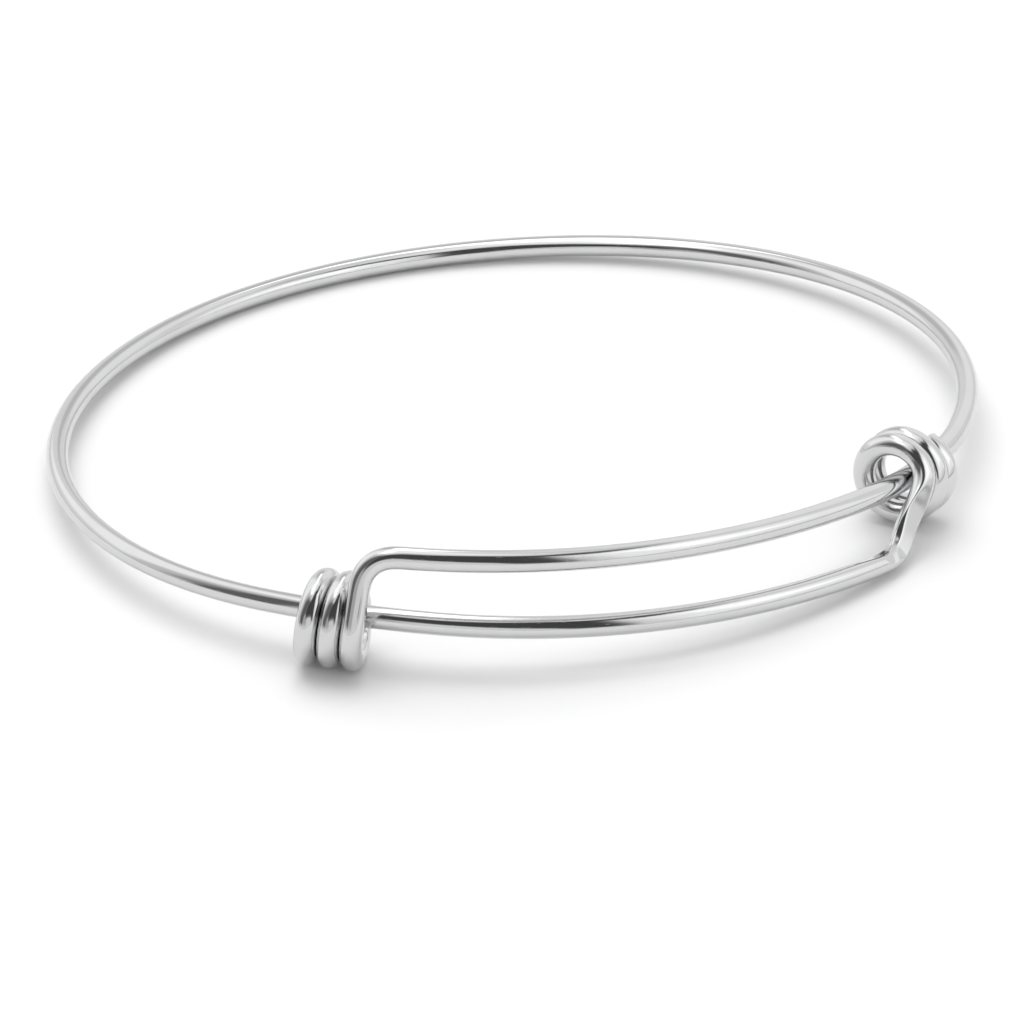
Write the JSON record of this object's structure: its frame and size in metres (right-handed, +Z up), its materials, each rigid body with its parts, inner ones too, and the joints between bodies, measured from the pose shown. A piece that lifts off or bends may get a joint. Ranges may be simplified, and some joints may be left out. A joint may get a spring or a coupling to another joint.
{
  "type": "adjustable wire bangle",
  "caption": "Plain adjustable bangle bent from round silver-coloured wire, its ends overlapping at the front, each wound as a small coil round the other strand.",
  "frame": {"origin": "on the floor, under the middle of the whole bangle's bounding box", "axes": "+Z up, +X along the oval's long axis towards the right coil's end, -Y towards the front, where the coils and the two strands are"},
  "size_m": [0.069, 0.0608, 0.0098],
  "materials": {
    "polished_steel": "bright polish with fine drawing lines along the wire"
  },
  "bodies": {
    "root": {"bangle_wire": "polished_steel"}
  },
  "joints": []
}
